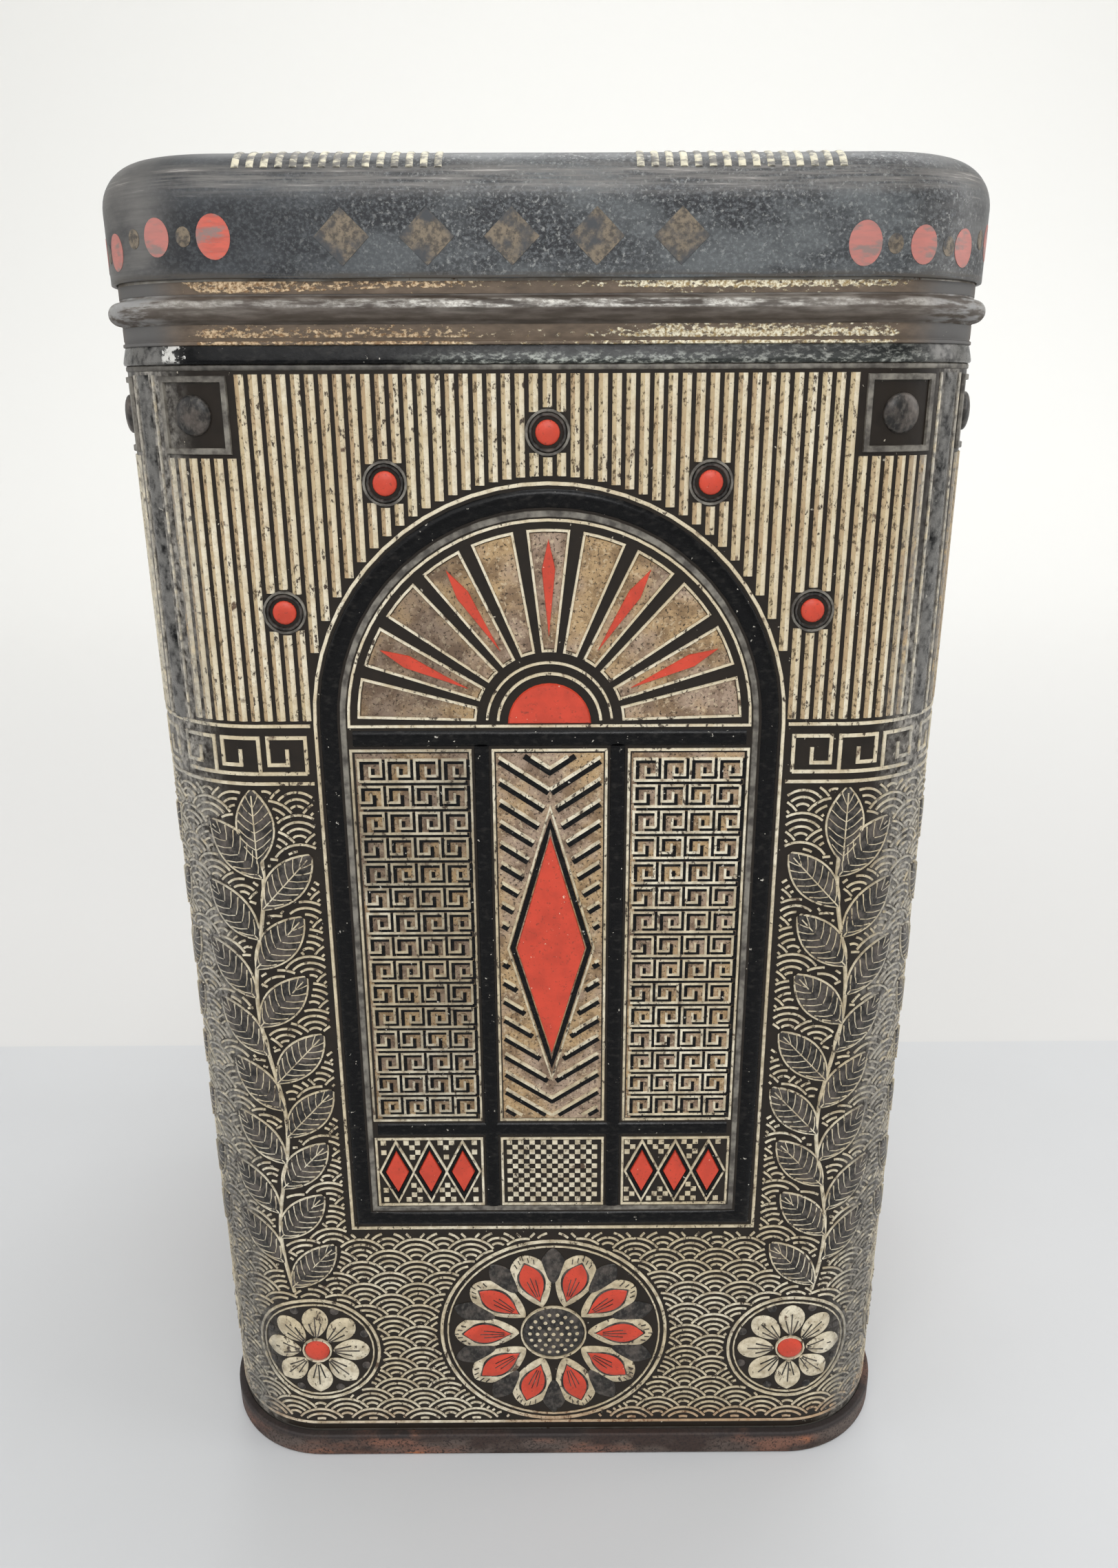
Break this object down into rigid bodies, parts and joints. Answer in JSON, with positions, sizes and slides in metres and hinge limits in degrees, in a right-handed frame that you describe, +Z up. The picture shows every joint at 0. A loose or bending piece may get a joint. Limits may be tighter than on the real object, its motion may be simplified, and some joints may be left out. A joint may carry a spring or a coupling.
{
  "type": "tea tin",
  "caption": "Square tinplate tea tin with rounded corners, a slip-on lid, a rolled bead under the lid and a folded bottom seam.",
  "frame": {"origin": "middle of the foot, on the surface that the tin stands on", "axes": "+Z up through the lid, -Y out of the front face, +X to the right seen from the front"},
  "size_m": [0.108, 0.108, 0.1864],
  "materials": {
    "printed_tinplate": "satin",
    "plain_tinplate": "satin",
    "lacquered_tinplate": "satin"
  },
  "bodies": {
    "tin": {"body_wall": "printed_tinplate", "bottom_plate": "plain_tinplate"},
    "lid": {"lid": "lacquered_tinplate"}
  },
  "joints": [
    {"name": "lid_lift", "type": "slide", "parent": "tin", "child": "lid", "axis": [0, 0, 1], "range_m": [0, 0.13]}
  ]
}
